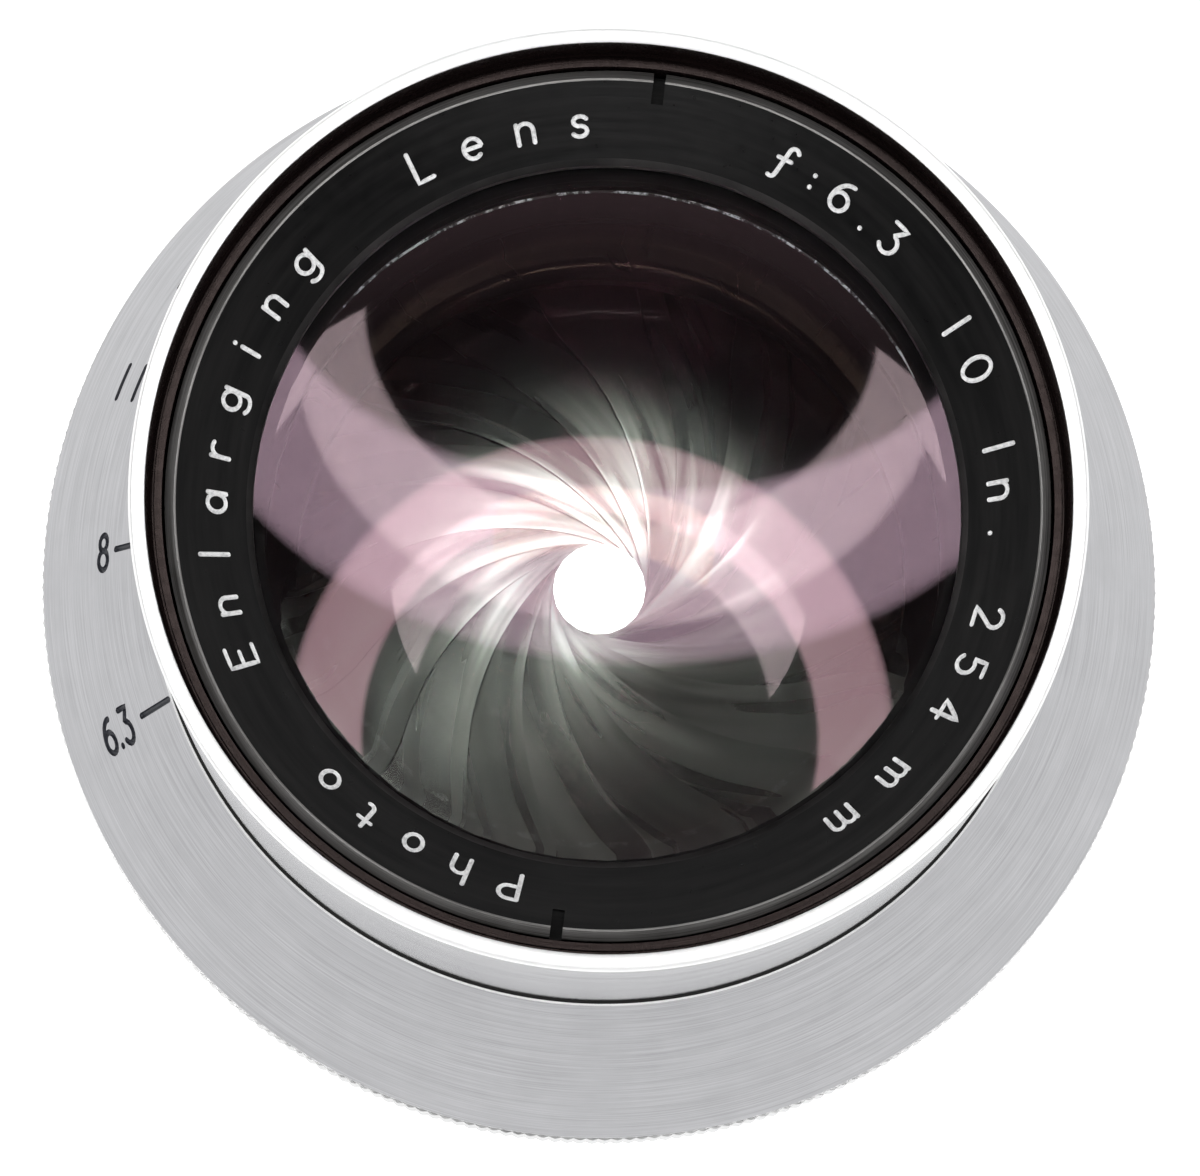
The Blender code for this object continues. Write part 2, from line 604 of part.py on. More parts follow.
# ------------------------------------------------------------------ aperture ring
ring_bore = journal_radius + RUNNING_FIT
knurl_root = ring_edge_radius - KNURL_SINK - KNURL_DEPTH
skirt_bore = ring_edge_radius - KNURL_SINK - KNURL_DEPTH - RING_SKIRT_WALL
aperture_ring = turned("aperture_ring", [
    (ring_top_radius - 0.35, ring_top),
    (ring_top_radius, ring_top - 0.4),
    (ring_edge_radius, ring_edge),
    (ring_edge_radius, ring_edge - KNURL_LAND),
    (knurl_root, ring_edge - KNURL_LAND),
    (knurl_root, ring_low),
    (skirt_bore, ring_low),
    (skirt_bore, ring_edge - 1.0),
    (ring_bore + RING_NECK_WALL, ring_top - RING_WEB_DEPTH),
    (ring_bore + RING_NECK_WALL, ring_neck),
    (ring_bore, ring_neck),
    (ring_bore, ring_top)], STEPS_OUTER, ALUMINIUM)
teeth = []
for n in range(KNURL_TEETH):
    pitch = 360.0 / KNURL_TEETH
    teeth += [polar(knurl_root - 0.1, pitch * n), polar(ring_edge_radius - KNURL_SINK, pitch * (n + 0.5))]
knurl = prisms("knurl", [teeth], ring_low + KNURL_LAND, ring_edge - KNURL_LAND / 2)
hollow = [polar(knurl_root - 0.6, 360.0 * i / STEPS_OUTER) for i in range(STEPS_OUTER)]
knurl_band = add_object("knurl_band", knurl)
combine(knurl_band, add_object("knurl_hollow", prisms("knurl_hollow", [hollow], ring_low - 1.0,
                                                      ring_edge + 1.0)), "DIFFERENCE")
combine(aperture_ring, knurl_band, "UNION")
combine(aperture_ring, add_object("ring_pin_cutter", rods(
    "ring_pin_cutter", DRIVE_PIN_RADIUS + PIN_FIT, [(along_drive(journal_radius - 1.0),
                                                     along_drive(drive_pin_end + 0.2))])), "DIFFERENCE")

# ------------------------------------------------------------------ rings behind it
lock_top = ring_neck - FACE_GAP
lock_low = lock_top - LOCK_RING_THICKNESS
lock_ring = turned("ring_lock_ring", [
    (lock_ring_radius, lock_top), (lock_ring_radius, lock_low),
    (journal_radius + SEAT_GAP, lock_low), (journal_radius + SEAT_GAP, lock_top)], STEPS_OUTER, BRASS)
grub_z = (lock_top + lock_low) / 2
grub_in = journal_radius + SEAT_GAP + 0.05
for number, azimuth in enumerate((30.0, 150.0, 270.0)):
    inner, outer = polar(grub_in, azimuth), polar(lock_ring_radius - 0.15, azimuth)
    near, far = polar(journal_radius - 1.0, azimuth), polar(lock_ring_radius + 1.0, azimuth)
    hole_rod = rods("grub_cutter", LOCK_SCREW_RADIUS + 0.1, [((*near, grub_z), (*far, grub_z))])
    combine(lock_ring, add_object(f"grub_cutter_{number + 1}", hole_rod), "DIFFERENCE")
    add_object(f"lock_ring_screw_{number + 1}",
               rods("grub", LOCK_SCREW_RADIUS, [((*inner, grub_z), (*outer, grub_z))]), STEEL)

jam_top = collar_low - JAM_RING_TO_COLLAR
jam_low = jam_top - JAM_RING_THICKNESS
jam_ring = turned("jam_ring", [
    (jam_ring_radius, jam_top), (jam_ring_radius, jam_low),
    (thread_radius + SEAT_GAP, jam_low), (thread_radius + SEAT_GAP, jam_top)], STEPS_OUTER, ALUMINIUM)
notch_turns = [360.0 * n / JAM_NOTCHES + 30.0 for n in range(JAM_NOTCHES)]
notches = [bar(JAM_NOTCH, jam_ring_radius - JAM_NOTCH_DEPTH, jam_ring_radius + 1.0, turn)
           for turn in notch_turns]
combine(jam_ring, add_object("jam_cutter", prisms("jam_cutter", notches, jam_low - 1.0,
                                                  jam_top + 1.0)), "DIFFERENCE")
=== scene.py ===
"""Looks of the enlarger lens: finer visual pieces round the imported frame, materials, light and camera."""
import math

import bmesh
import bpy
from mathutils import Matrix, Vector


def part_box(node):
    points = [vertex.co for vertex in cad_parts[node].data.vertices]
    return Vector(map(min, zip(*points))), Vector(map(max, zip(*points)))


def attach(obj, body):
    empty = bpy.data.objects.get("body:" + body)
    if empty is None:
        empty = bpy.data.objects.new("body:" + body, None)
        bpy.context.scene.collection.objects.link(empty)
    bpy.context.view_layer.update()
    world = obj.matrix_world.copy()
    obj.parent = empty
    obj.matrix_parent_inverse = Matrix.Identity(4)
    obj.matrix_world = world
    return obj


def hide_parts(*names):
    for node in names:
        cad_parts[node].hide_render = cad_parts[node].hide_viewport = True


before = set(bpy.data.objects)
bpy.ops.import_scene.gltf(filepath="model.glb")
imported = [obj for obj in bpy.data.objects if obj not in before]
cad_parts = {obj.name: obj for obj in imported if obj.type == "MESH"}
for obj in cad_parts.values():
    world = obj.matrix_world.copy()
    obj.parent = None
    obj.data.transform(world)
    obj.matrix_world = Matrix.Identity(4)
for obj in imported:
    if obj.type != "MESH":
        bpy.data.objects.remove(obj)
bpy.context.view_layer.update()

MM = 0.001


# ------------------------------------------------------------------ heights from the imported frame, in mm
def low(node):
    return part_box(node)[0].z / MM


def high(node):
    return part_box(node)[1].z / MM


RIM_Z = high("main_barrel")
NAME_TOP = high("name_ring")
NAME_LOW = low("name_ring")
RING_TOP = high("aperture_ring")
RING_LOW = low("aperture_ring")
FACE_GAP = 0.2            # between stacked pieces
JOURNAL_TOP = RING_TOP + FACE_GAP
RING_EDGE = RING_TOP - 10.0   # lower end of the aperture ring's cone
RING_WEB = RING_TOP - 6.5     # underside of the metal between cone and neck
NECK_LOW = high("ring_lock_ring") + FACE_GAP
LEAF_BASE = high("iris_base_ring") + 0.6
IRIS_SEAT = low("iris_base_ring") - FACE_GAP
CELL_SEAT = high("iris_retaining_ring") + 6.2
LEDGE_Z = RIM_Z - 2.3
COLLAR_TOP = RING_LOW - 1.4
COLLAR_LOW = COLLAR_TOP - 2.5
TUBE_DEPTH = 13.0             # wide bore at the rear end of the barrel

# ------------------------------------------------------------------ radii and counts, in mm
BARREL_R = 27.25
RECESS_R = 26.3       # inside of the front rim
FRONT_BORE = 25.5
JOURNAL_R = 26.1      # bearing of the aperture ring
RING_BORE = 26.18
RING_NECK_R = 29.68
SKIRT_BORE = 33.2     # inside of the aperture ring's skirt
TOP_R = 27.55         # upper end of the aperture ring's cone
EDGE_R = 34.75        # its lower end
KNURL_ROOT = EDGE_R - 0.35
TIP_R = 34.9
IRIS_BORE = 24.5
REAR_BORE = 22.4
TUBE_BORE = 25.0
THREAD_R = 28.0
THREAD_PITCH = 0.7
THREAD_DEPTH = 0.38
COLLAR_R = 31.5
NAME_OUTER = 25.35
NAME_INNER = 20.5
CHAMFER = 24.7        # where the name ring's chamfer starts
DISH_INNER = 20.85
GLASS_R = 21.4
SECOND_R = 20.4
REAR_GLASS_R = 18.7

TURN = 256            # steps round the axis for turned pieces
TURN_ENGRAVED = 384   # and for those with lettering
TURN_GLASS = 192
TEETH = 285           # knurl of the aperture ring
INDEX_AZIMUTH = 121.5 # degrees, the barrel's index mark and the ring's number 45


# ------------------------------------------------------------------ materials
def principled(name, colour, roughness, metallic=0.0, **extra):
    mat = bpy.data.materials.new(name)
    mat.use_nodes = True
    bsdf = mat.node_tree.nodes["Principled BSDF"]
    bsdf.inputs["Base Color"].default_value = (*colour, 1.0)
    bsdf.inputs["Roughness"].default_value = roughness
    bsdf.inputs["Metallic"].default_value = metallic
    for key, value in extra.items():
        socket = bsdf.inputs[key.replace("_", " ")]
        socket.default_value = (*value, 1.0) if isinstance(value, tuple) else value
    return mat, mat.node_tree, bsdf


def add(tree, kind, operation=None, **inputs):
    item = tree.nodes.new(kind)
    if operation:
        item.operation = operation
    for key, value in inputs.items():
        socket = item.inputs[int(key[1:])] if key[0] == "i" and key[1:].isdigit() else item.inputs[key]
        if isinstance(value, bpy.types.NodeSocket):
            tree.links.new(value, socket)
        else:
            socket.default_value = value
    return item


def turned_coordinates(tree, round_scale, along_scale):
    """Seamless coordinates for marks that run round the axis: long round it, fine across it."""
    spot = add(tree, "ShaderNodeTexCoord").outputs["Object"]
    parts = add(tree, "ShaderNodeSeparateXYZ", i0=spot).outputs
    flat = add(tree, "ShaderNodeCombineXYZ", i0=parts[0], i1=parts[1]).outputs[0]
    radius = add(tree, "ShaderNodeVectorMath", "LENGTH", i0=flat).outputs["Value"]
    unit = add(tree, "ShaderNodeVectorMath", "NORMALIZE", i0=flat).outputs[0]
    unit = add(tree, "ShaderNodeSeparateXYZ", i0=unit).outputs
    along = add(tree, "ShaderNodeMath", "SUBTRACT", i0=radius, i1=parts[2]).outputs[0]
    return add(tree, "ShaderNodeCombineXYZ",
               i0=add(tree, "ShaderNodeMath", "MULTIPLY", i0=unit[0], i1=round_scale).outputs[0],
               i1=add(tree, "ShaderNodeMath", "MULTIPLY", i0=unit[1], i1=round_scale).outputs[0],
               i2=add(tree, "ShaderNodeMath", "MULTIPLY", i0=along, i1=along_scale).outputs[0]).outputs[0]


def noise(tree, coordinates, scale=1.0, detail=3.0, rough=0.5):
    return add(tree, "ShaderNodeTexNoise", Vector=coordinates, Scale=scale, Detail=detail,
               Roughness=rough).outputs["Fac"]


def ramp(tree, value, *stops):
    item = add(tree, "ShaderNodeValToRGB", Fac=value)
    while len(item.color_ramp.elements) < len(stops):
        item.color_ramp.elements.new(0.5)
    for element, (place, colour) in zip(item.color_ramp.elements, stops):
        element.position = place
        element.color = (*colour, 1.0) if isinstance(colour, tuple) else (colour, colour, colour, 1.0)
    return item.outputs["Color"]


def spread(tree, value, lowest, highest):
    return add(tree, "ShaderNodeMapRange", Value=value, i3=lowest, i4=highest).outputs[0]


def bump(tree, bsdf, height, strength, distance):
    item = add(tree, "ShaderNodeBump", Strength=strength, Distance=distance, Height=height)
    tree.links.new(item.outputs[0], bsdf.inputs["Normal"])


def turned_metal(name, bright, dark, roughness, swing, round_scale, along_scale, depth, anisotropic=0.0):
    mat, tree, bsdf = principled(name, bright, roughness, 1.0, Anisotropic=anisotropic)
    where = turned_coordinates(tree, round_scale, along_scale)
    streaks = noise(tree, where, 1.0, 4.0, 0.65)
    patches = noise(tree, add(tree, "ShaderNodeTexCoord").outputs["Object"], 380.0, 4.0, 0.6)
    mixed = add(tree, "ShaderNodeMath", "MULTIPLY_ADD", i0=streaks, i1=0.84,
                i2=add(tree, "ShaderNodeMath", "MULTIPLY", i0=patches, i1=0.16).outputs[0]).outputs[0]
    tree.links.new(ramp(tree, mixed, (0.34, dark), (0.66, bright)), bsdf.inputs["Base Color"])
    tree.links.new(spread(tree, mixed, roughness - swing, roughness + swing), bsdf.inputs["Roughness"])
    bump(tree, bsdf, mixed, 0.35, depth)
    if anisotropic:
        tangent = tree.nodes.new("ShaderNodeTangent")
        tangent.direction_type = "RADIAL"
        tangent.axis = "Z"
        tree.links.new(tangent.outputs[0], bsdf.inputs["Tangent"])
    return mat


def turned_black(name, dark, light, roughness, depth, along_scale=9000.0, level=0.3, tint=(1.0, 1.0, 1.0)):
    mat, tree, bsdf = principled(name, dark, roughness, 0.0, IOR=1.5, Specular_IOR_Level=level,
                                 Specular_Tint=tint)
    where = turned_coordinates(tree, 2.5, along_scale)
    grooves = noise(tree, where, 1.0, 3.0, 0.6)
    dust = noise(tree, add(tree, "ShaderNodeTexCoord").outputs["Object"], 1400.0, 2.0)
    tree.links.new(ramp(tree, grooves, (0.35, dark), (0.75, light)), bsdf.inputs["Base Color"])
    tree.links.new(spread(tree, dust, roughness - 0.08, roughness + 0.12), bsdf.inputs["Roughness"])
    bump(tree, bsdf, grooves, 0.5, depth)
    return mat


def coated_glass(name, tint, level):
    mat, tree, bsdf = principled(name, (1.0, 1.0, 1.0), 0.0, 0.0, Transmission_Weight=1.0, IOR=1.52,
                                 Specular_IOR_Level=level, Specular_Tint=tint)
    where = add(tree, "ShaderNodeTexCoord").outputs["Object"]
    smears = noise(tree, where, 60.0, 3.0)
    tree.links.new(ramp(tree, smears, (0.4, (0.985, 0.99, 0.985)), (0.7, (1.0, 1.0, 1.0))),
                   bsdf.inputs["Base Color"])
    return mat


def paint(name, dark, light, roughness):
    mat, tree, bsdf = principled(name, light, roughness)
    specks = noise(tree, add(tree, "ShaderNodeTexCoord").outputs["Object"], 4000.0, 4.0)
    tree.links.new(ramp(tree, specks, (0.25, dark), (0.55, light)), bsdf.inputs["Base Color"])
    bump(tree, bsdf, specks, 0.4, 0.00003)
    return mat


POLISHED = turned_metal("polished_aluminium", (0.86, 0.86, 0.865), (0.58, 0.58, 0.59), 0.24, 0.06,
                        1.5, 6000.0, 0.000004)
RIM = turned_metal("worn_rim", (0.98, 0.98, 0.98), (0.90, 0.90, 0.90), 0.46, 0.05, 4.0, 4000.0, 0.000004)
BRUSHED = turned_metal("brushed_aluminium", (0.475, 0.475, 0.49), (0.33, 0.33, 0.34), 0.36, 0.07,
                       3.0, 7000.0, 0.000012, 0.55)
GRIP = turned_metal("knurled_aluminium", (0.74, 0.74, 0.74), (0.50, 0.50, 0.50), 0.38, 0.08,
                    9.0, 3000.0, 0.00001)
BRASS = turned_metal("turned_brass", (0.66, 0.50, 0.24), (0.50, 0.36, 0.15), 0.3, 0.06, 3.0, 6000.0, 0.000006)
STEEL = turned_metal("screw_steel", (0.55, 0.55, 0.54), (0.38, 0.38, 0.37), 0.3, 0.06, 6.0, 5000.0, 0.000005)
EDGE_METAL = turned_metal("worn_black_edge", (0.52, 0.51, 0.50), (0.16, 0.155, 0.15), 0.52, 0.08,
                          2.0, 9000.0, 0.000008)
DARK_EDGE = turned_metal("dark_inner_edge", (0.09, 0.085, 0.085), (0.03, 0.03, 0.03), 0.45, 0.08,
                         2.0, 9000.0, 0.000008)
# near black for the joint between barrel and aperture ring: dirt and painted shade in the gap
JOINT_DIRT_AND_SHADE = turned_black("joint_dirt_and_painted_shade", (0.006, 0.006, 0.006), (0.02, 0.019, 0.018), 0.6, 0.00001)
ENAMEL = turned_black("black_enamel", (0.002, 0.002, 0.0022), (0.010, 0.0095, 0.0095), 0.30, 0.00002,
                      9000.0, 0.2)
ANODISED = turned_black("black_anodised", (0.003, 0.003, 0.003), (0.009, 0.0085, 0.0085), 0.55, 0.00001,
                        9000.0, 0.15)
LEDGE = turned_black("brown_black_ledge", (0.003, 0.002, 0.002), (0.012, 0.007, 0.007), 0.25, 0.00002,
                     14000.0, 0.26, (1.0, 0.78, 0.74))
WHITE_FILL = paint("white_filling", (0.55, 0.55, 0.56), (0.90, 0.90, 0.90), 0.5)
DARK_FILL = paint("slate_filling", (0.006, 0.007, 0.012), (0.018, 0.020, 0.030), 0.45)
GLASS_FRONT = coated_glass("front_glass", (1.0, 0.62, 0.70), 0.8)
GLASS_BLUE = coated_glass("front_glass_back", (0.96, 0.64, 0.80), 0.36)
GLASS_INNER = coated_glass("inner_glass", (1.0, 0.72, 0.78), 0.8)
GLASS_CREAM = coated_glass("inner_glass_back", (1.0, 0.60, 0.46), 0.8)
GLASS_REAR = coated_glass("rear_glass", (0.75, 0.66, 1.0), 0.2)


def leaf_metal():
    """Blackened steel with painted highlights in fans that run along each leaf towards the stop, strongest
    near the stop and above it, and a painted grey sheen over the lower half.
    """
    mat, tree, bsdf = principled("iris_steel", (0.10, 0.10, 0.10), 0.3, 1.0)
    spot = add(tree, "ShaderNodeTexCoord").outputs["Object"]
    parts = add(tree, "ShaderNodeSeparateXYZ", i0=spot).outputs
    flat = add(tree, "ShaderNodeCombineXYZ", i0=parts[0], i1=parts[1]).outputs[0]
    reach = add(tree, "ShaderNodeVectorMath", "LENGTH", i0=flat).outputs["Value"]
    along = add(tree, "ShaderNodeUVMap").outputs[0]
    run = add(tree, "ShaderNodeSeparateXYZ", i0=along).outputs
    stretched = add(tree, "ShaderNodeMapping", Vector=along)
    stretched.inputs["Scale"].default_value = (2.0, 3.6, 1.0)
    fans = noise(tree, stretched.outputs[0], 1.0, 2.5, 0.5)
    slow = add(tree, "ShaderNodeMapping", Vector=along)
    slow.inputs["Scale"].default_value = (2.3, 1.5, 1.0)
    broad = noise(tree, slow.outputs[0], 1.0, 2.0)
    # painted highlight: brighter near the stop, towards each leaf's inner edge and above the stop
    near = add(tree, "ShaderNodeMapRange", Value=reach, i1=0.004, i2=0.0135, i3=1.0, i4=0.0)
    near.interpolation_type = "SMOOTHSTEP"
    edge = add(tree, "ShaderNodeMapRange", Value=run[1], i1=0.0, i2=0.5, i3=1.0, i4=0.25).outputs[0]
    above = add(tree, "ShaderNodeMapRange", Value=parts[1], i1=-0.006, i2=0.006, i3=0.16, i4=1.0).outputs[0]
    below = add(tree, "ShaderNodeMapRange", Value=parts[1], i1=-0.001, i2=-0.010, i3=0.0, i4=1.0).outputs[0]
    painted_light = add(tree, "ShaderNodeMath", "MULTIPLY", i0=near.outputs[0], i1=edge).outputs[0]
    painted_light = add(tree, "ShaderNodeMath", "MULTIPLY", i0=painted_light, i1=above).outputs[0]
    fans = add(tree, "ShaderNodeMapRange", Value=fans, i1=0.38, i2=0.68).outputs[0]
    broad = add(tree, "ShaderNodeMapRange", Value=broad, i1=0.3, i2=0.7, i3=0.25, i4=1.0).outputs[0]
    painted_light = add(tree, "ShaderNodeMath", "MULTIPLY", i0=painted_light, i1=fans).outputs[0]
    painted_light = add(tree, "ShaderNodeMath", "MULTIPLY", i0=painted_light, i1=broad).outputs[0]
    painted_light = add(tree, "ShaderNodeMath", "MULTIPLY", i0=painted_light, i1=3.0).outputs[0]
    # painted sheen: a faint grey haze over the lower half of the iris
    painted_sheen = add(tree, "ShaderNodeMath", "MULTIPLY", i0=broad, i1=below).outputs[0]
    painted_sheen = add(tree, "ShaderNodeMath", "MULTIPLY", i0=painted_sheen, i1=0.18).outputs[0]
    painted_light = add(tree, "ShaderNodeMath", "ADD", i0=painted_light, i1=painted_sheen).outputs[0]
    # the base colour carries the painted highlights and sheen, from near black to near white
    shade = ramp(tree, painted_light, (0.0, (0.020, 0.020, 0.019)), (0.25, (0.20, 0.19, 0.175)),
                 (0.8, (0.95, 0.94, 0.9)))
    tree.links.new(shade, bsdf.inputs["Base Color"])
    tree.links.new(spread(tree, fans, 0.24, 0.42), bsdf.inputs["Roughness"])
    bump(tree, bsdf, fans, 0.25, 0.00001)
    return mat


LEAF = leaf_metal()


# ------------------------------------------------------------------ shapes
def rounded(profile, radius, closed=True):
    """The profile with each corner turned into a small arc; a corner may give its own radius."""
    out = []
    count = len(profile)
    for i, corner in enumerate(profile):
        here = Vector(corner[:2])
        size = corner[2] if len(corner) > 2 else radius
        if (not closed and i in (0, count - 1)) or size <= 0.0:
            out.append(tuple(here))
            continue
        back = Vector(profile[i - 1][:2]) - here
        ahead = Vector(profile[(i + 1) % count][:2]) - here
        bend = back.angle(ahead)
        if bend > math.radians(176):
            out.append(tuple(here))
            continue
        reach = min(size / math.tan(bend / 2), back.length * 0.45, ahead.length * 0.45)
        start, end = here + back.normalized() * reach, here + ahead.normalized() * reach
        for step in range(4):
            t = step / 3
            out.append(tuple(start * (1 - t) ** 2 + here * 2 * t * (1 - t) + end * t * t))
    return out


def finish_mesh(obj, angle=35.0):
    mesh = obj.data
    mesh.polygons.foreach_set("use_smooth", [True] * len(mesh.polygons))
    mesh.set_sharp_from_angle(angle=math.radians(angle))
    mesh.update()


def new_piece(name, bm, mats):
    mesh = bpy.data.meshes.new(name)
    bm.to_mesh(mesh)
    bm.free()
    obj = bpy.data.objects.new(name, mesh)
    bpy.context.scene.collection.objects.link(obj)
    for mat in mats:
        mesh.materials.append(mat)
    return obj


def lathe(name, profile, mats, pick=None, steps=TURN, radius_at=None):
    """Turns a closed profile of (radius, z) in mm; pick(radius, z) gives a face's material number."""
    bm = bmesh.new()
    on_axis = profile[0][0] == 0.0
    columns = []
    for step in range(steps):
        angle = 2 * math.pi * step / steps
        column = []
        for index, (r, z) in enumerate(profile):
            if r == 0.0 and step:
                column.append(columns[0][index])
                continue
            if radius_at:
                r = radius_at(step, index, r)
            column.append(bm.verts.new((r * math.cos(angle) * MM, r * math.sin(angle) * MM, z * MM)))
        columns.append(column)
    count = len(profile)
    for step in range(steps):
        a, b = columns[step], columns[(step + 1) % steps]
        for i in range(count - 1 if on_axis else count):
            j = (i + 1) % count
            ring = []
            for vert in (a[i], a[j], b[j], b[i]):
                if vert not in ring:
                    ring.append(vert)
            if len(ring) < 3:
                continue
            face = bm.faces.new(ring)
            if pick:
                face.material_index = pick((profile[i][0] + profile[j][0]) / 2,
                                           (profile[i][1] + profile[j][1]) / 2)
    bmesh.ops.recalc_face_normals(bm, faces=bm.faces)
    obj = new_piece(name, bm, mats)
    finish_mesh(obj)
    return obj


# ------------------------------------------------------------------ engraving with single strokes
def arc(cx, cy, rx, ry, start, end, count=10):
    return [(cx + rx * math.cos(math.radians(start + (end - start) * i / count)),
             cy + ry * math.sin(math.radians(start + (end - start) * i / count))) for i in range(count + 1)]


BOWL = arc(0.30, 0.32, 0.27, 0.32, 0, 360, 18)
GLYPHS = {   # each is (width, strokes), a capital is 1 high
    "P": (0.55, [[(0, 0), (0, 1)], [(0, 1)] + arc(0.28, 0.74, 0.27, 0.26, 90, -90) + [(0, 0.48)]]),
    "E": (0.55, [[(0.55, 0), (0, 0), (0, 1), (0.55, 1)], [(0, 0.52), (0.42, 0.52)]]),
    "L": (0.5, [[(0, 1), (0, 0), (0.5, 0)]]),
    "I": (0.0, [[(0, 0), (0, 1)]]),
    "h": (0.48, [[(0, 0), (0, 1)], [(0, 0.4)] + arc(0.24, 0.40, 0.24, 0.24, 180, 0, 8) + [(0.48, 0)]]),
    "o": (0.6, [BOWL]),
    "t": (0.44, [[(0.18, 0.92), (0.18, 0.16)] + arc(0.34, 0.16, 0.16, 0.16, 180, 290, 5),
                 [(0, 0.64), (0.42, 0.64)]]),
    "n": (0.48, [[(0, 0), (0, 0.64)], [(0, 0.4)] + arc(0.24, 0.40, 0.24, 0.24, 180, 0, 8) + [(0.48, 0)]]),
    "l": (0.0, [[(0, 0), (0, 1)]]),
    "a": (0.56, [arc(0.27, 0.32, 0.27, 0.32, 0, 360, 18), [(0.56, 0.64), (0.56, 0)]]),
    "r": (0.38, [[(0, 0), (0, 0.64)], [(0, 0.34)] + arc(0.26, 0.34, 0.26, 0.29, 180, 60, 6)]),
    "g": (0.56, [arc(0.27, 0.34, 0.27, 0.30, 0, 360, 18),
                 [(0.56, 0.64), (0.56, -0.1)] + arc(0.29, -0.1, 0.27, 0.2, 0, -150, 8)]),
    "i": (0.0, [[(0, 0), (0, 0.64)], [(0, 0.9), (0, 0.92)]]),
    "e": (0.56, [[(0.02, 0.34), (0.54, 0.34)] + arc(0.28, 0.32, 0.27, 0.32, 5, 310, 16)]),
    "s": (0.46, [arc(0.24, 0.48, 0.2, 0.16, 30, 250, 8) + arc(0.22, 0.17, 0.22, 0.17, 80, -150, 9)]),
    "m": (0.76, [[(0, 0), (0, 0.64)], [(0, 0.42)] + arc(0.19, 0.43, 0.19, 0.21, 180, 0, 7) + [(0.38, 0)],
                 [(0.38, 0.42)] + arc(0.57, 0.43, 0.19, 0.21, 180, 0, 7) + [(0.76, 0)]]),
    "f": (0.5, [arc(0.4, 0.84, 0.14, 0.16, 20, 170, 6) + [(0.22, 0.6), (0.12, 0.06)]
                + arc(-0.02, 0.04, 0.13, 0.14, 0, -120, 5), [(0.02, 0.56), (0.42, 0.56)]]),
    ":": (0.0, [[(0, 0.16), (0, 0.18)], [(0, 0.56), (0, 0.58)]]),
    ".": (0.0, [[(0, 0.04), (0, 0.06)]]),
    "0": (0.62, [arc(0.31, 0.5, 0.31, 0.5, 0, 360, 22)]),
    "1": (0.8, [[(0.4, 0), (0.4, 1)]]),
    "2": (0.56, [arc(0.28, 0.72, 0.27, 0.28, 160, -30, 9) + [(0, 0), (0.56, 0)]]),
    "3": (0.54, [[(0.04, 1), (0.5, 1), (0.24, 0.62)] + arc(0.25, 0.31, 0.28, 0.31, 85, -145, 11)]),
    "4": (0.6, [[(0.44, 0), (0.44, 1), (0, 0.3), (0.6, 0.3)]]),
    "5": (0.54, [[(0.5, 1), (0.1, 1), (0.06, 0.56)] + arc(0.26, 0.31, 0.28, 0.31, 120, -145, 11)]),
    "6": (0.56, [arc(0.28, 0.30, 0.28, 0.30, 0, 360, 18),
                 [(0.48, 0.94)] + arc(0.46, 0.3, 0.46, 0.64, 100, 180, 7)]),
    "8": (0.56, [arc(0.28, 0.27, 0.28, 0.27, 90, 450, 18), arc(0.28, 0.76, 0.23, 0.22, -90, 270, 16)]),
}


def stroke_solid(bm, points, normals, size):
    """A closed worm with round ends along points; normals keep its section square to the surface."""
    sides = 8
    rings = []
    count = len(points)
    closed = (points[0] - points[-1]).length < 1e-7 and count > 4
    if closed:
        points, normals = points[:-1], normals[:-1]
        count -= 1
    for i in range(count):
        if closed:
            run = (points[(i + 1) % count] - points[i - 1]).normalized()
        else:
            run = (points[min(i + 1, count - 1)] - points[max(i - 1, 0)]).normalized()
        side = run.cross(normals[i]).normalized()
        up = side.cross(run).normalized()
        stations = [(0.0, 1.0)]
        if not closed and i == 0:
            stations = [(-math.sin(a), math.cos(a)) for a in (1.35, 0.9, 0.45, 0.0)]
        if not closed and i == count - 1:
            stations = [(math.sin(a), math.cos(a)) for a in (0.0, 0.45, 0.9, 1.35)]
        for shift, share in stations:
            centre = points[i] + run * shift * size
            rings.append([bm.verts.new(centre + (side * math.cos(a) + up * math.sin(a)) * size * share)
                          for a in (2 * math.pi * k / sides for k in range(sides))])
    total = len(rings)
    for i in range(total if closed else total - 1):
        a, b = rings[i], rings[(i + 1) % total]
        for k in range(sides):
            bm.faces.new((a[k], a[(k + 1) % sides], b[(k + 1) % sides], b[k]))
    if not closed:
        bm.faces.new(rings[0][::-1])
        bm.faces.new(rings[-1])


def resample(points, most):
    out = [points[0]]
    for a, b in zip(points, points[1:]):
        length = math.dist(a, b)
        pieces = max(1, math.ceil(length / most))
        for k in range(1, pieces + 1):
            out.append((a[0] + (b[0] - a[0]) * k / pieces, a[1] + (b[1] - a[1]) * k / pieces))
    return out


def cut_out(obj, cutter, crossing):
    """Cuts the cutter out of obj, which takes its material in the cuts; crossing: its solids overlap."""
    cut = obj.modifiers.new("cut", "BOOLEAN")
    cut.operation = "DIFFERENCE"
    cut.solver = "EXACT"
    cut.use_self = crossing
    cut.material_mode = "TRANSFER"
    cut.object = cutter
    graph = bpy.context.evaluated_depsgraph_get()
    mesh = bpy.data.meshes.new_from_object(obj.evaluated_get(graph), depsgraph=graph)
    obj.modifiers.clear()
    old = obj.data
    obj.data = mesh
    mesh.name = obj.name
    bpy.data.meshes.remove(old)
    bpy.data.objects.remove(cutter)
    finish_mesh(obj, 30.0)


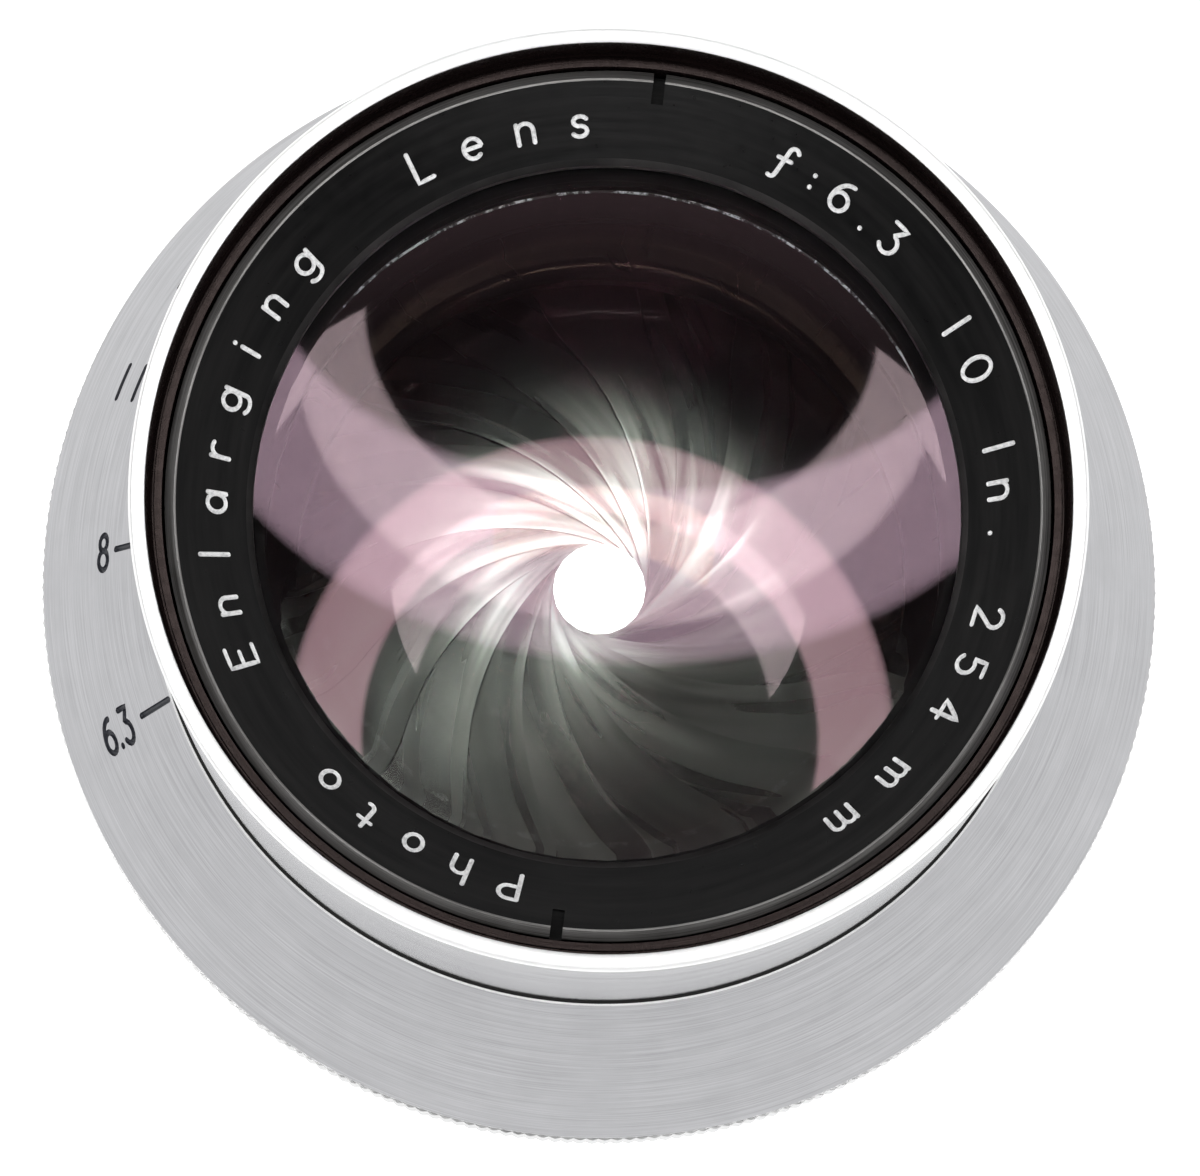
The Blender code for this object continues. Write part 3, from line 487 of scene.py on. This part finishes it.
def engrave(obj, strokes, size, fill, place):
    """Cuts strokes of flat (u, v) points, in mm, into obj; place(u, v) gives a spot and its normal."""
    bm = bmesh.new()
    for stroke in strokes:
        spots = [place(u, v) for u, v in resample(stroke, 0.35)]
        stroke_solid(bm, [s * MM for s, n in spots], [n for s, n in spots], size * MM)
    bmesh.ops.recalc_face_normals(bm, faces=bm.faces)
    cut_out(obj, new_piece("engraving", bm, [fill]), True)


def glyph_strokes(character, height, condense=1.0):
    width, strokes = GLYPHS[character]
    return width * height * condense, [[(x * height * condense, y * height) for x, y in s] for s in strokes]


# ------------------------------------------------------------------ barrel
GROOVE = 0.16   # height of the dark joint over the aperture ring: dirt and painted shade
lip_arc = rounded([
    (RECESS_R, RIM_Z - 0.5, 0), (RECESS_R, RIM_Z - 0.04, 0.1), (26.62, RIM_Z, 0.1), (27.08, RIM_Z, 0.12),
    (BARREL_R, RIM_Z - 0.22, 0.12), (BARREL_R, RIM_Z - 0.6, 0)], 0.1, False)
outside = rounded([
    (BARREL_R, JOURNAL_TOP + 6.0, 0), (BARREL_R, JOURNAL_TOP + GROOVE, 0), (27.17, JOURNAL_TOP + 0.14, 0),
    (27.17, JOURNAL_TOP, 0.05), (JOURNAL_R, JOURNAL_TOP, 0.05), (JOURNAL_R, COLLAR_TOP, 0.1),
    (COLLAR_R, COLLAR_TOP, 0.25), (COLLAR_R, COLLAR_LOW, 0.25), (THREAD_R, COLLAR_LOW, 0.1)], 0.1, False)
thread_top, thread_low = COLLAR_TOP - 3.4, 0.9
thread = []
for k in range(int((thread_top - thread_low) / THREAD_PITCH)):
    z = thread_top - THREAD_PITCH * k
    thread += [(THREAD_R, z), (THREAD_R - THREAD_DEPTH, z - THREAD_PITCH / 2)]
bores = rounded([
    (THREAD_R, thread_low, 0), (THREAD_R, 0.3, 0), (27.7, 0.0, 0), (TUBE_BORE, 0.0, 0.15),
    (TUBE_BORE, TUBE_DEPTH, 0.1), (REAR_BORE, TUBE_DEPTH, 0.1), (REAR_BORE, IRIS_SEAT, 0.1),
    (IRIS_BORE, IRIS_SEAT, 0.1), (IRIS_BORE, CELL_SEAT, 0.1), (FRONT_BORE, CELL_SEAT, 0.1),
    (FRONT_BORE, LEDGE_Z + 0.08, 0.05)], 0.1, False)
ledge = [(25.62, LEDGE_Z + 0.08), (25.92, LEDGE_Z + 0.08), (25.98, LEDGE_Z - 0.12), (26.06, LEDGE_Z - 0.12),
         (26.12, LEDGE_Z + 0.06), (RECESS_R, LEDGE_Z)]
barrel_profile = lip_arc + outside + thread + bores + ledge


def barrel_material(r, z):
    """0 polished side, 1 dark inside, 2 worn rim, 3 dirt and painted shade in the joint."""
    if (JOURNAL_TOP + 0.3 < z < RIM_Z - 0.1 and r < RECESS_R + 0.02) or r < FRONT_BORE + 0.1:
        return 1
    if z > RIM_Z - 0.5:
        return 2
    # 3: painted shade, with dirt, in the joint under the barrel's side
    return 3 if JOURNAL_TOP - 0.05 < z < JOURNAL_TOP + GROOVE else 0


barrel = lathe("barrel_shell", barrel_profile, [POLISHED, LEDGE, RIM, JOINT_DIRT_AND_SHADE], barrel_material)
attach(barrel, "barrel")
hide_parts("main_barrel")
index_angle = math.radians(INDEX_AZIMUTH)


def on_barrel(u, v):
    angle = index_angle + u / BARREL_R
    normal = Vector((math.cos(angle), math.sin(angle), 0.0))
    return normal * BARREL_R + Vector((0.0, 0.0, JOURNAL_TOP + v)), normal


engrave(barrel, [[(0.0, 0.5), (0.0, 2.6)]], 0.2, DARK_FILL, on_barrel)

# ------------------------------------------------------------------ name ring
dish_low = NAME_LOW + 0.95
name_profile = rounded([
    (CHAMFER, NAME_TOP - 0.06, 0.03), (CHAMFER + 0.1, NAME_TOP, 0.05), (NAME_OUTER, NAME_TOP - 0.33, 0.06),
    (NAME_OUTER, NAME_LOW, 0.05), (NAME_INNER, NAME_LOW, 0.05), (NAME_INNER, NAME_LOW + 0.6, 0.06),
    (DISH_INNER, dish_low, 0.05)], 0.05)


def name_material(r, z):
    """0 enamel, 1 worn chamfer, 2 inner edge."""
    if r > CHAMFER - 0.02 and z > NAME_TOP - 0.4:
        return 1
    return 2 if r < DISH_INNER + 0.05 and z > NAME_LOW + 0.55 else 0


name_ring = lathe("name_ring_face", name_profile, [ENAMEL, EDGE_METAL, DARK_EDGE], name_material,
                  TURN_ENGRAVED)
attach(name_ring, "barrel")
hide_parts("name_ring")
SLOPE = Vector((CHAMFER - DISH_INNER, NAME_TOP - 0.06 - dish_low)).normalized()


def on_dish(mid_angle, text_radius):
    """A spot on the name ring's dish: u runs clockwise, v outwards."""
    def place(u, v):
        r = text_radius + v * SLOPE.x
        angle = math.radians(mid_angle) - u / text_radius
        z = dish_low + (r - DISH_INNER) * SLOPE.y / SLOPE.x
        out = Vector((math.cos(angle), math.sin(angle), 0.0))
        return out * r + Vector((0.0, 0.0, z)), Vector((-out.x * SLOPE.y, -out.y * SLOPE.y, SLOPE.x))
    return place


def letters(text, first, last, text_radius, height):
    """One (strokes, mid angle) for each letter, spaced from the first angle to the last."""
    marks = []
    for i, character in enumerate(text):
        if character == " ":
            continue
        width, strokes = glyph_strokes(character, height)
        angle = first + (last - first) * i / max(1, len(text) - 1)
        marks.append((angle, [[(x - width / 2, y - height / 2) for x, y in s] for s in strokes]))
    return marks


CAP = 2.0
TEXT_RADIUS = 22.75
engraved = (letters("Photo", 255.6, 225.1, TEXT_RADIUS, CAP)
            + letters("Enlarging", 203.0, 141.0, TEXT_RADIUS, CAP)
            + letters("Lens", 118.5, 94.0, TEXT_RADIUS, CAP)
            + letters("f:6.3", 62.9, 43.3, TEXT_RADIUS, CAP)
            + letters("10", 27.4, 20.4, TEXT_RADIUS, CAP)
            + letters("In.", 8.4, -4.2, TEXT_RADIUS, CAP)
            + letters("254", -17.0, -32.0, TEXT_RADIUS, CAP)
            + letters("mm", -44.0, -54.0, TEXT_RADIUS, CAP))
flat_strokes = []
for angle, strokes in engraved:
    shift = -math.radians(angle) * TEXT_RADIUS
    flat_strokes += [[(x + shift, y) for x, y in s] for s in strokes]
engrave(name_ring, flat_strokes, 0.14, WHITE_FILL, on_dish(0.0, TEXT_RADIUS))


def cut_boxes(obj, boxes, fill):
    """Cuts upright boxes (azimuth, inner, outer, width, bottom, top) out of obj."""
    bm = bmesh.new()
    for azimuth, inner, outer, width, bottom, top in boxes:
        place = (Matrix.Rotation(math.radians(azimuth), 4, "Z")
                 @ Matrix.Translation(Vector(((inner + outer) / 2, 0.0, (bottom + top) / 2)) * MM)
                 @ Matrix.Diagonal(Vector((outer - inner, width, top - bottom, 1000.0)) * MM))
        bmesh.ops.create_cube(bm, size=1.0, matrix=place)
    cut_out(obj, new_piece("box_cutter", bm, [fill]), False)


cut_boxes(name_ring, [(83.0 + turn, NAME_OUTER - 1.7, NAME_OUTER + 0.5, 0.7, NAME_TOP - 1.3, NAME_TOP + 1.0)
                      for turn in (0.0, 180.0)], ANODISED)

# ------------------------------------------------------------------ aperture ring
CONE_TOP = RING_TOP - 0.1   # under the bright edge of the ring's top
ring_profile = rounded([
    (TOP_R - 0.12, RING_TOP, 0.02), (TOP_R, CONE_TOP, 0.05), (EDGE_R, RING_EDGE, 0.12),
    (EDGE_R, RING_EDGE - 0.45, 0.05), (KNURL_ROOT, RING_EDGE - 0.5, 0.02), (KNURL_ROOT, RING_LOW, 0.15),
    (SKIRT_BORE, RING_LOW, 0.15), (SKIRT_BORE, RING_EDGE - 1.0, 0.3), (RING_NECK_R, RING_WEB, 0.2),
    (RING_NECK_R, NECK_LOW, 0.15), (RING_BORE, NECK_LOW, 0.1), (RING_BORE, RING_TOP, 0.1)], 0.1)


def cone_material(r, z):
    """0 brushed cone, 1 dirt and painted shade on the ring's top next to the barrel, 2 bright edge."""
    if z < CONE_TOP - 0.01 or r < 26.5:
        return 0
    # 1: painted shade, with dirt, on the ring's top beside the barrel
    return 1 if r < TOP_R - 0.1 else 2


ring = lathe("aperture_ring_cone", ring_profile, [BRUSHED, JOINT_DIRT_AND_SHADE, RIM], cone_material,
             TURN_ENGRAVED)
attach(ring, "ring")
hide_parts("aperture_ring")
CONE = Vector((EDGE_R - TOP_R, RING_EDGE - CONE_TOP)).normalized()
SCALE_R = 30.0   # radius at which a mark's place round the cone is measured


def on_cone(u, v):
    """u is an angle times SCALE_R, v the radius."""
    angle = u / SCALE_R
    z = CONE_TOP + (v - TOP_R) * CONE.y / CONE.x
    out = Vector((math.cos(angle), math.sin(angle), 0.0))
    return out * v + Vector((0.0, 0.0, z)), Vector((-out.x * CONE.y, -out.y * CONE.y, CONE.x))


def scale_mark(text, azimuth, inner, tick, height=2.2, condense=0.84):
    """A tick between two radii and a number whose line of writing runs in towards the barrel."""
    centre = math.radians(azimuth)
    marks = [[(centre * SCALE_R, tick[0]), (centre * SCALE_R, tick[1])]]
    gap = 0.55
    widths = [glyph_strokes(c, height, condense)[0] for c in text]
    total = sum(widths) + gap * (len(text) - 1)
    start = inner + total * CONE.x
    for character, width in zip(text, widths):
        for stroke in glyph_strokes(character, height, condense)[1]:
            points = []
            for x, y in stroke:
                radius = start - x * CONE.x
                points.append(((centre - (y - height / 2) / radius) * SCALE_R, radius))
            marks.append(points)
        start -= (width + gap) * CONE.x
    return marks


stops = scale_mark("6.3", 199.1, 30.4, (27.7, 29.6))
for text, azimuth in (("8", 178.8), ("11", 158.4), ("16", 144.0), ("22", 134.5), ("32", 127.0),
                      ("45", INDEX_AZIMUTH)):
    stops += scale_mark(text, azimuth, 30.25, (27.8, 29.7))
engrave(ring, stops, 0.2, DARK_FILL, on_cone)

grip_profile = [(TIP_R, RING_EDGE - 0.75), (TIP_R, RING_LOW + 0.5), (EDGE_R - 0.5, RING_LOW + 0.3),
                (EDGE_R - 0.5, RING_EDGE - 0.6)]
TOOTH = (0.0, 0.05, 0.13, 0.05)   # depths of the four steps of one tooth


def tooth(step, index, r):
    return r - TOOTH[step % 4] if r > EDGE_R else r


grip = lathe("aperture_ring_grip", grip_profile, [GRIP], steps=TEETH * len(TOOTH),
             radius_at=tooth)
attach(grip, "ring")


# ------------------------------------------------------------------ glass
def sag(curve, radius):
    return curve - math.sqrt(curve ** 2 - radius ** 2)


def spherical(curve, radius, vertex, bend, rings=18):
    """Points of a spherical face from the axis out; bend +1 rises towards the edge, -1 falls."""
    return [(radius * i / rings, vertex + bend * sag(curve, radius * i / rings)) for i in range(rings + 1)]


def glass(name, node, upper, lower, coats):
    """A lens element with its own coating on the upper and the lower face."""
    middle = (upper[-1][1] + lower[-1][1]) / 2
    bend = (upper[0][1] + lower[0][1]) / 2

    def coat(r, z):
        share = r / upper[-1][0]
        return 0 if z > bend * (1 - share) + middle * share else 1

    obj = lathe(name, upper + lower[::-1], coats, coat, TURN_GLASS)
    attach(obj, "barrel")
    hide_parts(node)
    return obj


FRONT_CURVES = (62.0, 1200.0)     # radii of curvature, front face first
SECOND_CURVES = (120.0, 53.0)
CEMENT_CURVE = 64.0
REAR_CURVE = 78.0
top = high("front_element")
edge_low = top - sag(FRONT_CURVES[0], GLASS_R) - 3.0
glass("front_glass_shape", "front_element", spherical(FRONT_CURVES[0], GLASS_R, top, -1),
      spherical(FRONT_CURVES[1], GLASS_R, edge_low - sag(FRONT_CURVES[1], GLASS_R), 1),
      [GLASS_FRONT, GLASS_BLUE])
top = high("second_element")
glass("second_glass_shape", "second_element",
      spherical(SECOND_CURVES[0], 19.6, top - sag(SECOND_CURVES[0], 19.6), 1) + [(SECOND_R, top),
                                                                             (SECOND_R, top - 6.3)],
      spherical(SECOND_CURVES[1], 18.0, low("second_element") + sag(SECOND_CURVES[1], 18.0), -1),
      [GLASS_INNER, GLASS_CREAM])
chips, tree, bsdf = principled("chipped_bevel", (0.02, 0.02, 0.02), 0.4)
specks = noise(tree, add(tree, "ShaderNodeTexCoord").outputs["Object"], 900.0, 5.0, 0.75)
tree.links.new(ramp(tree, specks, (0.49, (0.008, 0.008, 0.009)), (0.57, (0.95, 0.95, 1.0))),
               bsdf.inputs["Base Color"])
bevel = lathe("second_glass_bevel", rounded([(19.4, top + 0.02), (19.85, top + 0.02), (19.85, top + 0.16),
                                             (19.5, top + 0.1)], 0.02), [chips], steps=TURN_GLASS)
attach(bevel, "barrel")
top = high("rear_flint_element")
glass("flint_glass_shape", "rear_flint_element", [(0.0, top), (REAR_GLASS_R, top)],
      spherical(CEMENT_CURVE, REAR_GLASS_R, top - 1.4, -1), [GLASS_REAR, GLASS_REAR])
top = high("rear_crown_element")
glass("crown_glass_shape", "rear_crown_element", spherical(CEMENT_CURVE, REAR_GLASS_R, top, -1),
      spherical(REAR_CURVE, REAR_GLASS_R, top - 6.6, 1), [GLASS_REAR, GLASS_REAR])

# ------------------------------------------------------------------ iris leaves
LEAVES = 18
LEAF_R = 21.3           # circle of both pins when the iris is open
LEAF_INNER_WIDTH = 3.3  # inside and outside that circle
LEAF_OUTER_WIDTH = 2.7
LEAF_END = 1.3          # half width at the round ends
LEAF_TAPER = 22.0       # degrees over which an end widens
LEAF_THICKNESS = 0.08
LEAF_RAMP = 0.65        # rise per radian
LEAF_STEPS = 64
STOP_CLOSED = 2.77      # radius of the smallest stop
ARC = 144.0             # degrees from pin to pin
PIVOT = Vector((LEAF_R, 0.0))
SWING = 2.0 * math.asin((LEAF_R - LEAF_INNER_WIDTH - STOP_CLOSED) / (2.0 * LEAF_R))


def spin(point, angle, centre=Vector((0.0, 0.0))):
    return Matrix.Rotation(angle, 2) @ (point - centre) + centre


TWIST = spin(Vector((0.0, 0.0)), -SWING, PIVOT)


def rise(point):
    """Height of a spot of the open leaf on the ramp about the stop's centre."""
    start = math.atan2(PIVOT.y - TWIST.y, PIVOT.x - TWIST.x)
    angle = math.atan2(point.y - TWIST.y, point.x - TWIST.x) - start
    while angle < -0.7:
        angle += 2 * math.pi
    return LEAF_RAMP * angle


def leaf_half(at, full):
    share = min(1.0, max(0.0, min(at, ARC - at) / LEAF_TAPER))
    return LEAF_END + (full - LEAF_END) * share * share * (3 - 2 * share)


def leaf(number):
    """A crescent leaf in its closed place, with a UV map that runs along it and across it."""
    turn = 2 * math.pi * number / LEAVES
    cap = math.degrees(LEAF_END / LEAF_R)
    rows = [(-cap, 0.45, 0.45), (-0.7 * cap, 0.92, 0.92)]
    for i in range(LEAF_STEPS + 1):
        at = ARC * i / LEAF_STEPS
        rows.append((at, leaf_half(at, LEAF_INNER_WIDTH), leaf_half(at, LEAF_OUTER_WIDTH)))
    rows += [(ARC + 0.7 * cap, 0.92, 0.92), (ARC + cap, 0.45, 0.45)]
    bm = bmesh.new()
    grid = {0: [], 1: []}
    runs = {}
    for at, inner, outer in rows:
        for layer in (0, 1):
            line = []
            for across in range(5):
                r = LEAF_R - inner + (inner + outer) * across / 4
                point = Vector((r * math.cos(math.radians(at)), r * math.sin(math.radians(at))))
                z = LEAF_BASE + rise(point) + LEAF_THICKNESS * layer
                world = spin(spin(point, SWING, PIVOT), turn)
                line.append(bm.verts.new((world.x * MM, world.y * MM, z * MM)))
                runs[line[-1]] = (number * 3.0 + at / ARC, across / 4)
            grid[layer].append(line)
    for i in range(len(rows) - 1):
        for k in range(4):
            for layer in (0, 1):
                g = grid[layer]
                bm.faces.new((g[i][k], g[i][k + 1], g[i + 1][k + 1], g[i + 1][k]))
        for k in (0, 4):
            bm.faces.new((grid[0][i][k], grid[0][i + 1][k], grid[1][i + 1][k], grid[1][i][k]))
    for i in (0, -1):
        for k in range(4):
            bm.faces.new((grid[0][i][k], grid[0][i][k + 1], grid[1][i][k + 1], grid[1][i][k]))
    bmesh.ops.recalc_face_normals(bm, faces=bm.faces)
    uv = bm.loops.layers.uv.new("UVMap")
    for face in bm.faces:
        for corner in face.loops:
            corner[uv].uv = runs[corner.vert]
    obj = new_piece(f"iris_leaf_shape_{number + 1:02d}", bm, [LEAF])
    finish_mesh(obj)
    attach(obj, f"leaf_{number + 1:02d}")
    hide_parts(f"iris_leaf_{number + 1:02d}")


for number in range(LEAVES):
    leaf(number)

# ------------------------------------------------------------------ the frame's own pieces that stay in view
STAY = (
    (ANODISED, ("front_cell", "cell_spacer", "iris_base_ring", "iris_drive_ring", "rear_cell",
                "rear_retaining_ring")),
    (STEEL, ("iris_retaining_ring", "drive_pin", "lock_ring_screw_1", "lock_ring_screw_2",
             "lock_ring_screw_3")),
    (BRASS, ("ring_lock_ring",)),
    (POLISHED, ("jam_ring",)))
for mat, names in STAY:
    for name in names:
        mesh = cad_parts[name].data
        mesh.materials.clear()
        mesh.materials.append(mat)
        mesh.polygons.foreach_set("use_smooth", [True] * len(mesh.polygons))
        mesh.set_sharp_from_angle(angle=math.radians(30))

# ------------------------------------------------------------------ stage, light and camera
VIEW = Vector((0.0186, 0.1728, -0.9848)).normalized()
camera_data = bpy.data.cameras.new("camera")
camera_data.lens = 144.0
camera_data.sensor_width = 36.0
camera_data.clip_start, camera_data.clip_end = 0.01, 20.0
camera = bpy.data.objects.new("camera", camera_data)
bpy.context.scene.collection.objects.link(camera)
camera.location = Vector((-5.6, -52.4, RIM_Z + 266.7)) * MM
up = Vector((0.0, 0.985, 0.173))
back = -VIEW
right = up.cross(back).normalized()
up = back.cross(right)
camera.matrix_world = Matrix.Translation(camera.location) @ Matrix((right, up, back)).transposed().to_4x4()
bpy.context.scene.camera = camera

bm = bmesh.new()
bmesh.ops.create_grid(bm, x_segments=1, y_segments=1, size=1.5)
mat, tree, bsdf = principled("white_floor", (0.3, 0.3, 0.3), 0.9)
bsdf.inputs["Emission Color"].default_value = (1.0, 1.0, 1.0, 1.0)
spot = add(tree, "ShaderNodeTexCoord").outputs["Object"]
reach = add(tree, "ShaderNodeVectorMath", "LENGTH", i0=spot).outputs["Value"]
# brighter right under the lens, as seen through the stop
lit = add(tree, "ShaderNodeMapRange", Value=reach, i1=0.020, i2=0.024, i3=4.0, i4=0.98).outputs[0]
tree.links.new(lit, bsdf.inputs["Emission Strength"])
floor = new_piece("floor", bm, [mat])

world = bpy.data.worlds.new("studio")
bpy.context.scene.world = world
world.use_nodes = True
tree = world.node_tree
background = tree.nodes["Background"]
direction = add(tree, "ShaderNodeTexCoord").outputs["Generated"]
LIGHT_CENTRE = Vector((-0.0186, math.sin(math.radians(-17.5)), math.cos(math.radians(-17.5)))).normalized()
towards = add(tree, "ShaderNodeVectorMath", "DOT_PRODUCT", i0=direction,
              i1=tuple(LIGHT_CENTRE)).outputs["Value"]
angle = add(tree, "ShaderNodeMath", "ARCCOSINE", i0=towards).outputs[0]
share = add(tree, "ShaderNodeMath", "DIVIDE", i0=angle, i1=math.pi).outputs[0]
STRENGTH = 6.0   # of a ring of light, 27 to 36 degrees round its centre, in a dark ceiling over pale walls
glow = [(0, 0.02), (26.7, 0.02), (27.3, STRENGTH), (35.7, STRENGTH), (36.3, 0.02), (55, 0.06), (75, 0.7),
        (180, 0.9)]
light = ramp(tree, share, *[(a / 180.0, value / STRENGTH) for a, value in glow])
tree.links.new(light, background.inputs["Color"])
background.inputs["Strength"].default_value = STRENGTH
bpy.context.scene.view_settings.view_transform = "Standard"
